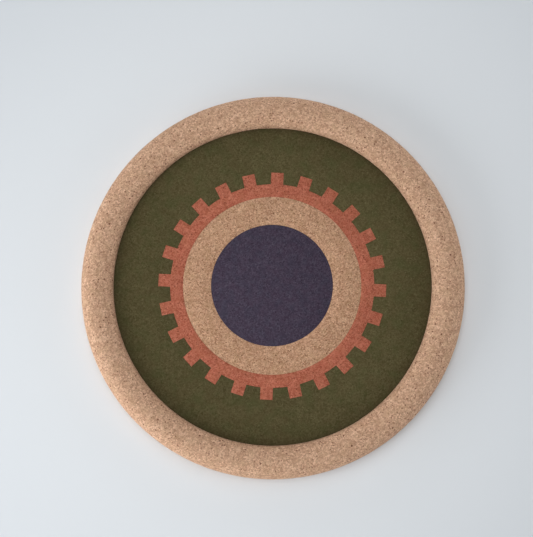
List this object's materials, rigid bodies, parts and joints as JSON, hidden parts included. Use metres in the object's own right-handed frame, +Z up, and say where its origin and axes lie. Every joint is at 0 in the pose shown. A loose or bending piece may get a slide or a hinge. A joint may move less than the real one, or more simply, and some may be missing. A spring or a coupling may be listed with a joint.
{
  "type": "round cork bulletin board",
  "caption": "Round cork pin board with a thick half-round cork rim, a recessed face with a toothed ring pattern, and a swinging ring hanger on the back.",
  "frame": {"origin": "the point of the wall plane where the hook stands, 131 mm above the board's centre", "axes": "+X to the right as seen from the front, +Z up, the wall is the plane Y = 0 and the pin face looks along -Y"},
  "size_m": [0.38, 0.0265, 0.38],
  "materials": {
    "rim_cork": "matte",
    "olive_cork": "matte",
    "terracotta_cork": "matte",
    "plain_cork": "matte",
    "aubergine_cork": "matte",
    "core_cork": "matte",
    "hardboard": "matte",
    "zinc_steel": "satin"
  },
  "bodies": {
    "board": {"rim": "rim_cork", "field_sheet": "olive_cork", "cog_ring": "terracotta_cork", "plain_band": "plain_cork", "centre_disc": "aubergine_cork", "core_board": "core_cork", "backing_board": "hardboard", "hanger_strap": "zinc_steel", "upper_screw": "zinc_steel", "lower_screw": "zinc_steel"},
    "ring": {"hanger_ring": "zinc_steel"}
  },
  "joints": [
    {"name": "hanger_pivot", "type": "hinge", "parent": "board", "child": "ring", "pos_m": [0, -0.0025, -0.015], "axis": [1, 0, 0], "range_deg": [0, 180]}
  ]
}
